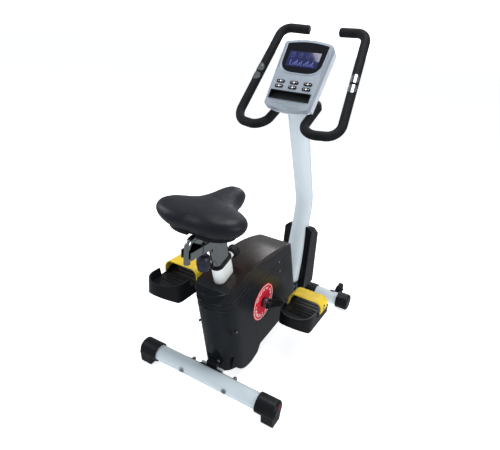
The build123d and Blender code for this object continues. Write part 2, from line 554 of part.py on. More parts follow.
def make_casing():
    hollow = case_solid(WALL) - neck_notches(WALL)
    shell = case_solid() - neck_notches(0) - hollow
    openings = block(20, 640, -SPINE_HALF_Y - 0.3, SPINE_HALF_Y + 0.3, SPINE_LOW - 40, SPINE_HIGH + 0.3)
    openings += cross_rod(CRANK_X, CRANK_Z, -100, 100, 15)
    openings += seat_prism((SEAT_TUBE[0] + 3, SEAT_TUBE[1] + 3), -200, 60)
    shell -= openings

    below = Polygon((-80, -20), (700, -20), *RIM_LINE[::-1], align=None)
    above = Polygon(*[(x, z + 0.4) for x, z in RIM_LINE], (600, 520), (-60, 520), align=None)
    halves = {"left": (0.1, 90), "right": (-90, -0.1)}
    for name, (low, high) in halves.items():
        export(f"casing_{name}", shell & slab(below, low, high))
    export("casing_top", shell & slab(above, -90, 90))

    badges = [cross_rod(CRANK_X, CRANK_Z, CASE_HALF_Y + 0.05, CASE_HALF_Y + 1.8, BADGE_R, 17)]
    badges.append(other_side(badges[0]))
    export("badge_discs", *badges)

    screws = []
    for x, z in ((334, 372), (350, 326), (60, 226), (520, 180)):
        screw = cross_rod(x, z, CASE_HALF_Y + 0.05, CASE_HALF_Y + 2, 4.2)
        screws += [screw, other_side(screw)]
    export("casing_screws", *screws)


# ---- mast, tower cover and boot ------------------------------------------------------------
def mast_path():
    lean = radians(MAST_LEAN)
    top = (MAST_KNEE[0] - 600 * sin(lean), MAST_KNEE[1] + 600 * cos(lean))
    foot_slope = (MAST_KNEE[0] - MAST_FOOT_X) / (MAST_KNEE[1] - MAST_FOOT_Z)
    low = (MAST_FOOT_X - foot_slope * 60, MAST_FOOT_Z - 60)
    points = [(low[0], 0, low[1]), (MAST_KNEE[0], 0, MAST_KNEE[1]), (top[0], 0, top[1])]
    return FilletPolyline(*points, radius=MAST_BEND_R)


def make_mast():
    path = mast_path()
    under_console = console_block(-CONSOLE_DEPTH, 900, -600, 900, 400)
    keep = block(0, 900, -100, 100, MAST_FOOT_Z, 1400)
    mast = swept(path, MAST_R, MAST_R - MAST_WALL) & keep
    mast -= under_console
    export("mast", mast)

    clearance = swept(path, MAST_R + 1)
    profile = Polygon((TOWER_REAR, TOWER_LOW), (TOWER_REAR, TOWER_HIGH), (TOWER_REAR + 40, TOWER_HIGH - 6),
                      (TOWER_REAR + 80, TOWER_HIGH - 26), (TOWER_REAR + 106, TOWER_LOW), align=None)
    tower = slab(profile, -TOWER_HALF_Y, TOWER_HALF_Y)
    tower = chamfer(tower.edges().filter_by(lambda e: e.center().Z > TOWER_HIGH - 40)
                    .filter_by(lambda e: abs(e.center().Y) > TOWER_HALF_Y - 1), 16)
    inner = Polygon((TOWER_REAR + 3, TOWER_LOW - 1), (TOWER_REAR + 3, TOWER_HIGH - 20),
                    (TOWER_REAR + 70, TOWER_HIGH - 36), (TOWER_REAR + 103, TOWER_LOW - 1), align=None)
    tower = tower - slab(inner, -TOWER_HALF_Y + 3, TOWER_HALF_Y - 3) - clearance
    tower -= block(TOWER_REAR - 50, TOWER_REAR + 20, -30, 30, 0, 140)
    tower = max(tower.solids(), key=lambda s: s.volume)
    export("tower_cover", tower)

    boot = extrude(Pos(MAST_FOOT_X - 2, 0, MAST_FOOT_Z) * RectangleRounded(96, 96, 30), amount=46,
                   taper=4)
    boot = fillet(boot.edges().group_by(Axis.Z)[-1], 4)
    boot -= swept(path, MAST_R + 0.2)
    boot &= block(500, TOWER_REAR - 1, -60, 60, 90, 200)
    export("mast_boot", boot)


# ---- handlebar --------------------------------------------------------------------------
def bar_half_path():
    """Left half of the bar's centre line, from the cross bar to the grip's end."""
    points = [(BAR_CROSS[0], 0, BAR_CROSS[1]), (BAR_CROSS[0], 67, BAR_CROSS[1]), (356, 69, 839),
              (396, 196, 843), (627, 160, 1158), (640, 62, 1156)]
    return points


BAR_RADII = [36, 44, 52, 42]


def make_handlebar():
    points = bar_half_path()
    path = FilletPolyline(*points, radius=BAR_RADII)
    half = swept(path, BAR_R, BAR_R - 2)
    export("handlebar", half + other_side(half))

    foam = swept(path, FOAM_R) - swept(path, BAR_R)
    start = Plane(origin=(500, 68, 909), z_dir=(-0.91, 0.0, -0.415))
    cut = extrude(start * Rectangle(120, 120), amount=-120)
    foam = max((foam - cut).solids(), key=lambda s: s.volume)
    export("foam_grip_left", foam)
    export("foam_grip_right", other_side(foam))

    low, high = Vector(396, 196, 843), Vector(627, 160, 1158)
    along = (high - low).normalized()
    plates = []
    facing = Vector(-0.78, 0.10, 0.62).normalized()
    for distance, lean in ((170, -1), (210, 1)):
        centre = low + along * distance
        plane = Plane(origin=centre - along * 16, z_dir=along)
        shell = extrude(plane * (Circle(FOAM_R + 1.4) - Circle(FOAM_R + 0.05)), amount=32)
        keep = Pos(*(centre + facing * FOAM_R - along * lean * 3)) * Sphere(17)
        plates.append(shell & keep)
    plates += [other_side(plate) for plate in plates]
    export("pulse_plates", *plates)


def make_bar_clamp():
    x, z = BAR_CROSS
    lean = radians(MAST_LEAN)
    out = Vector(cos(lean), 0, sin(lean))
    ring = cross_rod(x, z, -24, 24, BAR_R + 7, BAR_R + FIT)
    bracket_plane = Plane(origin=Vector(x, 0, z) - out * 34, x_dir=(0, 1, 0), z_dir=out)
    bracket = extrude(bracket_plane * Rectangle(40, 34), amount=24)
    body = ring + bracket - cross_rod(x, z, -30, 30, BAR_R + FIT) - swept(mast_path(), MAST_R)
    export("handlebar_clamp", body)


# ---- console -----------------------------------------------------------------------------
def console_plane(depth=0.0, along=0.0):
    """Plane of the console's face: x runs to the rider's left, y up the face."""
    slope = radians(CONSOLE_SLOPE)
    up = Vector(cos(slope), 0, sin(slope))
    normal = Vector(-sin(slope), 0, cos(slope))
    origin = Vector(CONSOLE_FOOT[0], 0, CONSOLE_FOOT[1]) + up * along + normal * depth
    return Plane(origin=origin, x_dir=(0, -1, 0), z_dir=normal)


def console_block(depth, thick, low, high, half):
    """Box on the console's axes: from `depth` outwards by `thick`, `low` to `high` up the face."""
    face = Pos(0, (low + high) / 2) * Rectangle(2 * half, high - low)
    return extrude(console_plane(depth) * face, amount=thick)


def console_outline(inset=0.0):
    top, foot = CONSOLE_TOP_HALF - inset, CONSOLE_FOOT_HALF - inset
    low, high = inset + 6, CONSOLE_LENGTH - inset
    bulge = 12.0
    edges = [
        Line((foot, low), (top, high)),
        ThreePointArc((top, high), (0, high + bulge), (-top, high)),
        Line((-top, high), (-foot, low)),
        ThreePointArc((-foot, low), (0, low - bulge), (foot, low)),
    ]
    return make_face(edges)


def make_console():
    body = extrude(console_plane(-CONSOLE_DEPTH) * console_outline(), amount=CONSOLE_DEPTH)
    body = fillet(body.edges().filter_by(Axis.Z, reverse=True)
                  .filter_by(lambda e: e.length > 40).filter_by(lambda e: e.length < 60), 9)
    body -= console_block(-90, 60, -60, 18, 140)
    inner = extrude(console_plane(-CONSOLE_DEPTH + WALL) * console_outline(WALL),
                    amount=CONSOLE_DEPTH - 2 * WALL)
    inner -= console_block(-90, 60 + WALL, -60, 18 + WALL, 140)
    shell = body - inner
    front = shell & console_block(-CONSOLE_SPLIT, 60, -60, 400, 140)
    back = shell & console_block(-CONSOLE_SPLIT - 60.2, 60, -60, 400, 140)
    window = window_outline()
    front -= extrude(console_plane(-10) * window_outline(0.2), amount=20)
    front -= console_block(-10, 20, 28.8, 61.2, 74.2)
    for row in BUTTON_ROWS:
        for column in BUTTON_COLUMNS:
            hole = Pos(-column, row) * RectangleRounded(BUTTON_SIZE[0] + 2 * GAP, BUTTON_SIZE[1] + 2 * GAP, 5.5)
            front -= extrude(console_plane(-10) * hole, amount=20)
    export("console_front", front)
    export("console_back", back)

    lens = extrude(console_plane(-2.2) * window, amount=2.4)
    export("console_window", lens)
    screen = console_block(-9, 6, 152, 216, 60)
    board = console_block(-14, 1.6, 70, 232, 66)
    posts = console_block(-12.5, 3.6, 160, 208, 50)
    export("display_board", screen + board + posts)
    tray = console_block(-14, 16, 29, 61, 74) - console_block(-11, 16, 32, 58, 71)
    lip = console_block(-12, 16, 29, 33, 64)
    export("console_tray", tray + lip)
    number = 1
    for row in BUTTON_ROWS:
        for column in BUTTON_COLUMNS:
            cap = extrude(console_plane(-5) * (Pos(-column, row) * RectangleRounded(*BUTTON_SIZE, 5.2)), amount=7.5)
            flange = extrude(console_plane(-5.5) * (Pos(-column, row) * RectangleRounded(34, 14, 6)), amount=2.2)
            export(f"console_button_{number}", cap + flange)
            number += 1


def window_outline(grow=0.0):
    low, side_low, high = 132.0 - grow, 166.0, 240.0 + grow
    half, half_top = 73.0 + grow, 76.0 + grow
    edges = [
        Line((half, side_low), (half_top, high)),
        ThreePointArc((half_top, high), (0, high + 9.5), (-half_top, high)),
        Line((-half_top, high), (-half, side_low)),
        Spline((-half, side_low), (-56 - grow, 140 - grow), (0, low), (56 + grow, 140 - grow),
               (half, side_low)),
    ]
    return make_face(edges)


os.makedirs("parts", exist_ok=True)
make_stabilisers()
make_levelling_feet()
make_front_caps_and_wheels()
make_main_frame()
make_height_knob()
make_seat_post()
make_slider()
make_saddle()
make_crank()
make_pedals()
make_drive()
make_brake()
make_casing()
make_mast()
make_handlebar()
make_bar_clamp()
make_console()
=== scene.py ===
import math

import bmesh
import bpy
from mathutils import Matrix, Vector, kdtree


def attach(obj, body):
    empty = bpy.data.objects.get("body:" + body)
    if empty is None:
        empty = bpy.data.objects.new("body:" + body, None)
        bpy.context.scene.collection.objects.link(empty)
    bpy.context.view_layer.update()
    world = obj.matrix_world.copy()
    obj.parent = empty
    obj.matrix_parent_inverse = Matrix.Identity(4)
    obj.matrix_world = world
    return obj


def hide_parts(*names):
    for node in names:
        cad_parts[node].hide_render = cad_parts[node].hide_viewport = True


# Looks of the exercise bike. Metres, +X towards the handlebar, +Y to the rider's left, +Z up.
# The origin is under the middle of the bike, MIDDLE forward of the rear stabiliser's axis.
MM = 0.001
MIDDLE = 352 * MM

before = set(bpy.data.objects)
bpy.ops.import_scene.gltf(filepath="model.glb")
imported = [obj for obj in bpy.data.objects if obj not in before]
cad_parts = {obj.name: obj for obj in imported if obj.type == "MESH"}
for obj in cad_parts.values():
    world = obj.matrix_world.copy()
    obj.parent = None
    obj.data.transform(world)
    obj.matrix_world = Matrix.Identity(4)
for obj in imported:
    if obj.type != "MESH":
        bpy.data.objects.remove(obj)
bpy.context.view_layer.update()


def at(x, y, z):
    """A point given in millimetres from the rear stabiliser's axis and the floor."""
    return Vector((x * MM - MIDDLE, y * MM, z * MM))


# ---- materials ----------------------------------------------------------------------
def material(name, colour, rough, metal=0.0, mottle=0.08, mottle_scale=9.0, rough_spread=0.06,
             grain=(700.0, 0.12), ripple=(0.0, 0.0), coat=0.0, sheen=0.0, glow=0.0, gloss=0.5):
    """Principled surface with uneven colour and roughness, a fine grain and a broad ripple."""
    mat = bpy.data.materials.new(name)
    mat.use_nodes = True
    tree = mat.node_tree
    shader = tree.nodes["Principled BSDF"]
    place = tree.nodes.new("ShaderNodeTexCoord").outputs["Object"]

    def noise(scale, detail):
        node = tree.nodes.new("ShaderNodeTexNoise")
        node.inputs["Scale"].default_value = scale
        node.inputs["Detail"].default_value = detail
        tree.links.new(place, node.inputs["Vector"])
        return node.outputs["Fac"]

    ramp = tree.nodes.new("ShaderNodeValToRGB")
    ramp.color_ramp.elements[0].position = 0.3
    ramp.color_ramp.elements[1].position = 0.7
    ramp.color_ramp.elements[0].color = (*[c * (1 - mottle) for c in colour], 1)
    ramp.color_ramp.elements[1].color = (*[min(1, c * (1 + mottle)) for c in colour], 1)
    tree.links.new(noise(mottle_scale, 5), ramp.inputs["Fac"])
    tree.links.new(ramp.outputs["Color"], shader.inputs["Base Color"])

    spread = tree.nodes.new("ShaderNodeMapRange")
    spread.inputs["To Min"].default_value = max(0.02, rough - rough_spread)
    spread.inputs["To Max"].default_value = min(1.0, rough + rough_spread)
    tree.links.new(noise(mottle_scale * 4, 6), spread.inputs["Value"])
    tree.links.new(spread.outputs["Result"], shader.inputs["Roughness"])

    normal = None
    for (scale, strength), distance in ((ripple, 0.004), (grain, 0.0006)):
        if strength > 0:
            bump = tree.nodes.new("ShaderNodeBump")
            bump.inputs["Strength"].default_value = strength
            bump.inputs["Distance"].default_value = distance
            tree.links.new(noise(scale, 4), bump.inputs["Height"])
            if normal:
                tree.links.new(normal, bump.inputs["Normal"])
            normal = bump.outputs["Normal"]
    if normal:
        tree.links.new(normal, shader.inputs["Normal"])
    shader.inputs["Metallic"].default_value = metal
    shader.inputs["Specular IOR Level"].default_value = gloss
    shader.inputs["Coat Weight"].default_value = coat
    shader.inputs["Coat Roughness"].default_value = 0.12
    shader.inputs["Sheen Weight"].default_value = sheen
    if glow:
        shader.inputs["Emission Color"].default_value = (*colour, 1)
        shader.inputs["Emission Strength"].default_value = glow
    return mat


POWDER = material("pale_powder_coat", (0.60, 0.68, 0.73), 0.36, mottle=0.05, grain=(1500, 0.16),
                  ripple=(60, 0.03), coat=0.25)
WHITE = material("white_powder_coat", (0.80, 0.84, 0.84), 0.30, mottle=0.03, grain=(1500, 0.12), coat=0.3)
BLACK_STEEL = material("black_powder_coat", (0.012, 0.013, 0.015), 0.42, grain=(1200, 0.25), gloss=0.2)
MOULDED = material("moulded_black", (0.006, 0.007, 0.009), 0.36, mottle=0.2, grain=(1600, 0.3), gloss=0.22)
CASING = material("casing_black", (0.006, 0.008, 0.011), 0.34, mottle=0.25, grain=(2200, 0.16),
                  ripple=(12, 0.012), gloss=0.2)
# The casing's top: the same black plastic as the sides, but glossier, with a lighter brown colour painted
# in as the light the upward face catches.
CASING_TOP = material("casing_gloss_painted_light", (0.016, 0.010, 0.008), 0.22, mottle=0.3, mottle_scale=14,
                      grain=(2600, 0.08), ripple=(9, 0.02), coat=0.08, gloss=0.22)
GLOSS = material("gloss_black", (0.004, 0.005, 0.007), 0.14, grain=(900, 0.03), coat=0.12, gloss=0.25)
FOAM = material("foam_black", (0.006, 0.007, 0.009), 0.62, mottle=0.3, mottle_scale=60,
                grain=(1300, 0.7), sheen=0.02, gloss=0.15)
VINYL = material("saddle_vinyl", (0.006, 0.007, 0.013), 0.44, mottle=0.12, mottle_scale=20,
                 grain=(850, 0.5), ripple=(40, 0.02), sheen=0.02, gloss=0.3)
NAVY = material("navy_plastic", (0.020, 0.022, 0.040), 0.34, mottle=0.15, grain=(1400, 0.25), gloss=0.3)
CHROME = material("chrome", (0.36, 0.39, 0.40), 0.09, metal=1.0, mottle=0.05, rough_spread=0.03,
                  grain=(300, 0.02), ripple=(30, 0.02))
ZINC = material("zinc_plate", (0.42, 0.43, 0.45), 0.32, metal=1.0, mottle=0.18, mottle_scale=90,
                grain=(900, 0.2))
SATIN_STEEL = material("satin_steel", (0.16, 0.165, 0.175), 0.30, metal=1.0, mottle=0.15, grain=(600, 0.15))
IRON = material("cast_iron", (0.12, 0.12, 0.125), 0.5, metal=1.0, mottle=0.2, grain=(500, 0.5))
RED = material("red_plastic", (0.62, 0.012, 0.035), 0.28, mottle=0.07, grain=(1400, 0.08), coat=0.4)
MARKS = material("white_ink", (0.85, 0.83, 0.83), 0.4, mottle=0.05, grain=(1500, 0.1))
YELLOW = material("strap_yellow", (0.80, 0.58, 0.03), 0.42, mottle=0.10, mottle_scale=30,
                  grain=(900, 0.3), ripple=(70, 0.06))
TYRE = material("wheel_rubber", (0.012, 0.012, 0.013), 0.55, mottle=0.2, grain=(900, 0.4), gloss=0.2)
CONSOLE = material("console_silver", (0.33, 0.38, 0.44), 0.32, metal=0.25, mottle=0.05,
                   mottle_scale=30, grain=(2600, 0.12), coat=0.3)
CONSOLE_SIDE = material("console_white", (0.60, 0.64, 0.72), 0.30, mottle=0.04, grain=(2000, 0.10),
                        coat=0.3)
BELT = material("belt_rubber", (0.02, 0.02, 0.02), 0.6, mottle=0.2, grain=(700, 0.4))
SCREEN = material("display_blue", (0.008, 0.011, 0.060), 0.16, mottle=0.35, mottle_scale=40,
                  grain=(900, 0.03), coat=0.3, glow=0.15)
SEGMENT = material("display_bars", (0.05, 0.07, 0.24), 0.3, mottle=0.2, mottle_scale=60,
                   grain=(900, 0.05), glow=0.10)

FINISHES = {
    POWDER: ["rear_stabiliser", "front_stabiliser", "mast"],
    WHITE: ["seat_tube"],
    BLACK_STEEL: ["main_frame", "wheel_brackets", "handlebar_clamp", "handlebar"],
    MOULDED: ["levelling_foot_left", "levelling_foot_right", "front_end_caps", "post_bushing",
              "height_knob", "saddle_base", "pedal_left", "pedal_right", "tower_cover", "console_tray",
              "drive_pulley"],
    CASING: ["casing_left", "casing_right"],
    CASING_TOP: ["casing_top"],
    GLOSS: ["mast_boot", "tension_motor", "console_window"]
           + [f"console_button_{number}" for number in range(1, 7)],
    FOAM: ["foam_grip_left", "foam_grip_right"],
    VINYL: ["saddle_pad"],
    NAVY: ["slider_knob"],
    CHROME: ["seat_post", "saddle_slider", "pulse_plates"],
    ZINC: ["saddle_clamp", "brake_arm", "stabiliser_bolts", "casing_screws", "ball_bearings",
           "brake_magnets", "flywheel_axle", "brake_pin", "pedal_axles"],
    SATIN_STEEL: ["crank_arm_left", "crank_arm_right", "crank_axle"],
    IRON: ["flywheel"],
    RED: ["badge_discs"],
    YELLOW: ["pedal_strap_left", "pedal_strap_right"],
    TYRE: ["transport_wheel_left", "transport_wheel_right"],
    CONSOLE: ["console_front"],
    CONSOLE_SIDE: ["console_back"],
    BELT: ["drive_belt"],
    SCREEN: ["display_board"],
}
for finish, names in FINISHES.items():
    for name in names:
        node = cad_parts[name]
        node.data.materials.clear()
        node.data.materials.append(finish)


# ---- mesh helpers -------------------------------------------------------------------
def finish_piece(name, mesh_or_bm, finish, body, soften=0.0, smooth=True):
    """Makes an object from a mesh, rounds its edges, and lets it ride on a body."""
    mesh = mesh_or_bm
    if isinstance(mesh_or_bm, bmesh.types.BMesh):
        bmesh.ops.recalc_face_normals(mesh_or_bm, faces=mesh_or_bm.faces)
        mesh = bpy.data.meshes.new(name)
        mesh_or_bm.to_mesh(mesh)
        mesh_or_bm.free()
    piece = bpy.data.objects.new(name, mesh)
    bpy.context.scene.collection.objects.link(piece)
    mesh.materials.append(finish)
    if smooth:
        mesh.shade_smooth()
    if soften:
        bevel = piece.modifiers.new("soften", "BEVEL")
        bevel.width = soften
        bevel.segments = 2
        bevel.limit_method = "ANGLE"
    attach(piece, body)
    return piece


def add_box(bm, centre, axes, size):
    """A box in a shared mesh, on three given directions."""
    corners = []
    for a in (-0.5, 0.5):
        for b in (-0.5, 0.5):
            for c in (-0.5, 0.5):
                corner = centre + axes[0] * size[0] * a + axes[1] * size[1] * b + axes[2] * size[2] * c
                corners.append(bm.verts.new(corner))
    for face in ((0, 1, 3, 2), (4, 6, 7, 5), (0, 4, 5, 1), (2, 3, 7, 6), (0, 2, 6, 4), (1, 5, 7, 3)):
        bm.faces.new([corners[i] for i in face])


def add_turned(bm, base, axis, profile, steps=32):
    """A closed turned shape: profile is (radius, distance along the axis) from centre to centre."""
    axis = axis.normalized()
    side = axis.orthogonal().normalized()
    other = axis.cross(side)
    rings = []
    for radius, along in profile:
        middle = base + axis * along
        if radius == 0:
            rings.append([bm.verts.new(middle)])
            continue
        ring = []
        for step in range(steps):
            angle = 2 * math.pi * step / steps
            ring.append(bm.verts.new(middle + (side * math.cos(angle) + other * math.sin(angle)) * radius))
        rings.append(ring)
    for low, high in zip(rings, rings[1:]):
        for step in range(steps):
            following = (step + 1) % steps
            loop = []
            for ring, index in ((low, step), (low, following), (high, following), (high, step)):
                vertex = ring[index % len(ring)]
                if vertex not in loop:
                    loop.append(vertex)
            bm.faces.new(loop)


def bead(name, points, radius, finish, body, closed=False):
    """A round bead along a line, as a mesh tube with flat caps on the ends of an open line."""
    curve = bpy.data.curves.new(name, "CURVE")
    curve.dimensions = "3D"
    curve.bevel_depth = radius
    curve.bevel_resolution = 3
    curve.use_fill_caps = not closed
    spline = curve.splines.new("POLY")
    spline.points.add(len(points) - 1)
    for target, point in zip(spline.points, points):
        target.co = (*point, 1)
    spline.use_cyclic_u = closed
    source = bpy.data.objects.new(name + "_path", curve)
    bpy.context.scene.collection.objects.link(source)
    graph = bpy.context.evaluated_depsgraph_get()
    mesh = bpy.data.meshes.new_from_object(source.evaluated_get(graph))
    bpy.data.objects.remove(source)
    return finish_piece(name, mesh, finish, body)


def ribbon(name, points, across, thickness, finish, body):
    """A flat strap along a line of points; across is its full width as a vector."""
    bm = bmesh.new()
    rows = []
    for index, point in enumerate(points):
        before, after = points[max(0, index - 1)], points[min(len(points) - 1, index + 1)]
        up = (after - before).cross(across).normalized() * thickness / 2
        rows.append([bm.verts.new(point + across * a + up * b)
                     for a, b in ((-0.5, -1), (0.5, -1), (0.5, 1), (-0.5, 1))])
    for low, high in zip(rows, rows[1:]):
        for k in range(4):
            bm.faces.new((low[k], low[(k + 1) % 4], high[(k + 1) % 4], high[k]))
    bm.faces.new(rows[0])
    bm.faces.new(rows[-1])
    return finish_piece(name, bm, finish, body, soften=thickness * 0.25)


def arc_points(centre, first, second, radius, start, end, count):
    """Points on an arc in the plane of two unit directions; angles in degrees."""
    points = []
    for step in range(count + 1):
        angle = math.radians(start + (end - start) * step / count)
        points.append(centre + (first * math.cos(angle) + second * math.sin(angle)) * radius)
    return points


X, Y, Z = Vector((1, 0, 0)), Vector((0, 1, 0)), Vector((0, 0, 1))


# ---- saddle -------------------------------------------------------------------------
SADDLE_PITCH = math.radians(6)
SADDLE_BOLT = at(-16, 0, 612)
PAD_LOW, PAD_HIGH = 637 * MM, 689 * MM
NOSE_X, TAIL_X = 125 * MM - MIDDLE, -146 * MM - MIDDLE
SKIRT_DROP = 4 * MM
PAD_VOXEL = 5 * MM
PAD_SMOOTHINGS = 10
PUFF_STEPS, PUFF_PRESSURE, PUFF_CAP = 20, 4.0, 5 * MM


def saddle_frame():
    """Takes a point of the level saddle to its pitched place."""
    return (Matrix.Translation(SADDLE_BOLT) @ Matrix.Rotation(-SADDLE_PITCH, 4, "Y")
            @ Matrix.Translation(-SADDLE_BOLT))


def edge_distance(points):
    """For each point, how far it is in plan from the pad's own outer wall."""
    wall = [p for p, on_wall in points if on_wall]
    tree = kdtree.KDTree(len(wall))
    for index, point in enumerate(wall):
        tree.insert((point.x, point.y, 0), index)
    tree.balance()
    return [tree.find((p.x, p.y, 0))[2] for p, _ in points]


def shape_pad(mesh):
    """Crowns the top, dishes the seat, lowers the nose and tucks the wall in underneath."""
    place = saddle_frame()
    level = place.inverted()
    vertices = [level @ v.co for v in mesh.vertices]
    on_wall = [abs(v.normal.z) < 0.35 for v in mesh.vertices]
    inward = edge_distance(list(zip(vertices, on_wall)))
    for vertex, point, distance in zip(mesh.vertices, vertices, inward):
        height = min(1, max(0, (point.z - PAD_LOW) / (PAD_HIGH - PAD_LOW)))
        along = (point.x - TAIL_X) / (NOSE_X - TAIL_X)
        round_off = 1 - min(1, distance / (38 * MM))
        drop = 9 * MM * round_off ** 2
        dish = 3 * MM * math.exp(-((along - 0.50) / 0.20) ** 2)
        hollow = 2 * MM * math.exp(-(point.y / (26 * MM)) ** 2) * math.exp(-((along - 0.22) / 0.2) ** 2)
        nose_fall = 6 * MM * max(0, (along - 0.86) / 0.14) ** 2
        tail_rise = 8 * MM * (1 - along)
        point.z += (tail_rise - drop - dish - hollow - nose_fall) * height
        tuck = 0.15 * max(0, 1 - height / 0.6) ** 1.5
        centre_x = SADDLE_BOLT.x
        skirt = max(0, 1 - distance / (16 * MM)) * max(0, 1 - height / 0.45)
        point.z -= SKIRT_DROP * skirt
        point.x = centre_x + (point.x - centre_x) * (1.015 - tuck)
        point.y *= 1.075 - tuck
        vertex.co = place @ (point + X * 4 * MM + Z * 5 * MM)


def puff(piece, pressure, cap):
    """Swells a pad with cloth pressure, holding its underside; no point moves more than cap."""
    scene = bpy.context.scene
    held = piece.vertex_groups.new(name="held")
    low = [v.index for v in piece.data.vertices if v.normal.z < -0.5]
    held.add(low, 1.0, "REPLACE")
    before = [v.co.copy() for v in piece.data.vertices]
    cloth = piece.modifiers.new("puff", "CLOTH")
    cloth.settings.use_pressure = True
    cloth.settings.uniform_pressure_force = pressure
    cloth.settings.vertex_group_mass = "held"
    cloth.settings.effector_weights.gravity = 0
    cloth.settings.quality = 6
    cloth.point_cache.frame_end = PUFF_STEPS
    for step in range(1, PUFF_STEPS + 1):
        scene.frame_set(step)
    graph = bpy.context.evaluated_depsgraph_get()
    swollen = bpy.data.meshes.new_from_object(piece.evaluated_get(graph))
    piece.modifiers.clear()
    for vertex, target, start in zip(piece.data.vertices, swollen.vertices, before):
        move = target.co - start
        if move.length > cap:
            move *= cap / move.length
        vertex.co = start + move
    bpy.data.meshes.remove(swollen)
    scene.frame_set(1)


def make_saddle():
    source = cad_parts["saddle_pad"]
    piece = bpy.data.objects.new("saddle_cover", source.data.copy())
    bpy.context.scene.collection.objects.link(piece)
    remesh = piece.modifiers.new("even", "REMESH")
    remesh.mode = "VOXEL"
    remesh.voxel_size = PAD_VOXEL
    graph = bpy.context.evaluated_depsgraph_get()
    even = bpy.data.meshes.new_from_object(piece.evaluated_get(graph))
    piece.modifiers.clear()
    piece.data = even
    shape_pad(even)
    relax = bmesh.new()
    relax.from_mesh(even)
    for _ in range(PAD_SMOOTHINGS):
        bmesh.ops.smooth_vert(relax, verts=relax.verts, factor=0.5, use_axis_x=True, use_axis_y=True,
                              use_axis_z=True)
    relax.to_mesh(even)
    relax.free()
    puff(piece, PUFF_PRESSURE, PUFF_CAP)
    even.materials.clear()
    even.materials.append(VINYL)
    even.shade_smooth()
    finer = piece.modifiers.new("finer", "SUBSURF")
    finer.levels = 1
    finer.render_levels = 1
    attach(piece, "saddle")
    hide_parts("saddle_pad")


# ---- casing trim --------------------------------------------------------------------
CRANK_X, CRANK_Z = 235, 253
CASE_HALF = 67.0           # millimetres, as in at()
CASE_NOSE = 88.0           # length of the casing's rounded rear in plan
BEAD_FRONT = 405.0         # where the beads end, before the casing narrows


def rear_edge(z):
    """X of the casing's sloping rear edge at a height."""
    return 66 - 138 * (z + 20) / 500


def casing_outline(height_at, inset, front_limit):
    """Points round the casing's rear from its front right to its front left, at a height for each x."""
    points = []
    for side in (-1, 1):
        half = []
        for step in range(61):
            x_ahead = step / 60
            rear = rear_edge(height_at(-40 + x_ahead * 500))
            x = rear + (front_limit - rear) * (1 - math.cos(x_ahead * math.pi / 2))
            z = height_at(x)
            rear = rear_edge(z)
            reach = min(1, max(0, (rear + CASE_NOSE - x) / CASE_NOSE))
            y = (CASE_HALF - inset) * math.sqrt(max(0, 1 - reach ** 2))
            half.append(at(max(x, rear + inset), side * y, z))
        points += half[::-1] if side < 0 else half[1:]
    return points


def line_height(nodes):
    """A smooth height curve through (x, z) places."""
    def height(x):
        if x <= nodes[0][0]:
            return nodes[0][1]
        for (x0, z0), (x1, z1) in zip(nodes, nodes[1:]):
            if x <= x1:
                t = (x - x0) / (x1 - x0)
                return z0 + (z1 - z0) * t * t * (3 - 2 * t)
        return nodes[-1][1]
    return height


def make_casing_trim():
    """Beads round the casing's rear, the bracket plate and screw, side plugs and cooling ribs."""
    rim = [(-60, 400), (30, 403), (48, 406), (82, 421), (122, 431), (165, 427), (280, 415), (440, 412)]
    upper = [(-60, 372), (20, 354), (52, 360), (92, 377), (130, 382), (265, 364), (478, 352)]
    lower = [(-60, 352), (6, 330), (47, 327), (92, 352), (136, 364), (262, 346), (486, 330)]
    for name, nodes in (("rim", rim), ("upper", upper), ("lower", lower)):
        outline = casing_outline(line_height(nodes), 0.4, BEAD_FRONT)
        bead(f"casing_bead_{name}", outline, 1.5 * MM, GLOSS, "frame")
    bm = bmesh.new()
    add_box(bm, at(31.5, 0, 66), (X, Y, Z), (5 * MM, 88 * MM, 22 * MM))
    finish_piece("rear_bracket_plate", bm, POWDER, "frame", soften=1.2 * MM)
    bm = bmesh.new()
    add_turned(bm, at(43.5, -16, 92), -X, [(0, 0), (5.2 * MM, 0), (5.2 * MM, 1 * MM), (3.4 * MM, 2.4 * MM),
                                         (2.2 * MM, 1.6 * MM), (0, 1.6 * MM)])
    finish_piece("neck_screw", bm, ZINC, "frame")
    bm = bmesh.new()
    for side in (-1, 1):
        add_turned(bm, at(36, side * (CASE_HALF - 4.5), 231), Y * side,
                   [(0, 0), (5 * MM, 0), (5 * MM, 3.5 * MM), (3.6 * MM, 4 * MM), (3.2 * MM, 1.5 * MM),
                    (0, 1.5 * MM)])
    finish_piece("case_plugs", bm, GLOSS, "frame")
    bm = bmesh.new()
    for row in range(4):
        z = 372 - row * 17
        for side in (-1, 1):
            x = 388 + row * 9
            add_box(bm, at(x, side * (CASE_HALF - 3.2), z), (X, Y, Z), (58 * MM, 8 * MM, 4 * MM))
    finish_piece("casing_ribs", bm, CASING, "frame", soften=1.5 * MM)


BADGE_DASHES = 28
BADGE_RING, BADGE_DASH_OUT, BADGE_DASH_IN = 66, 55, 51      # radii in millimetres


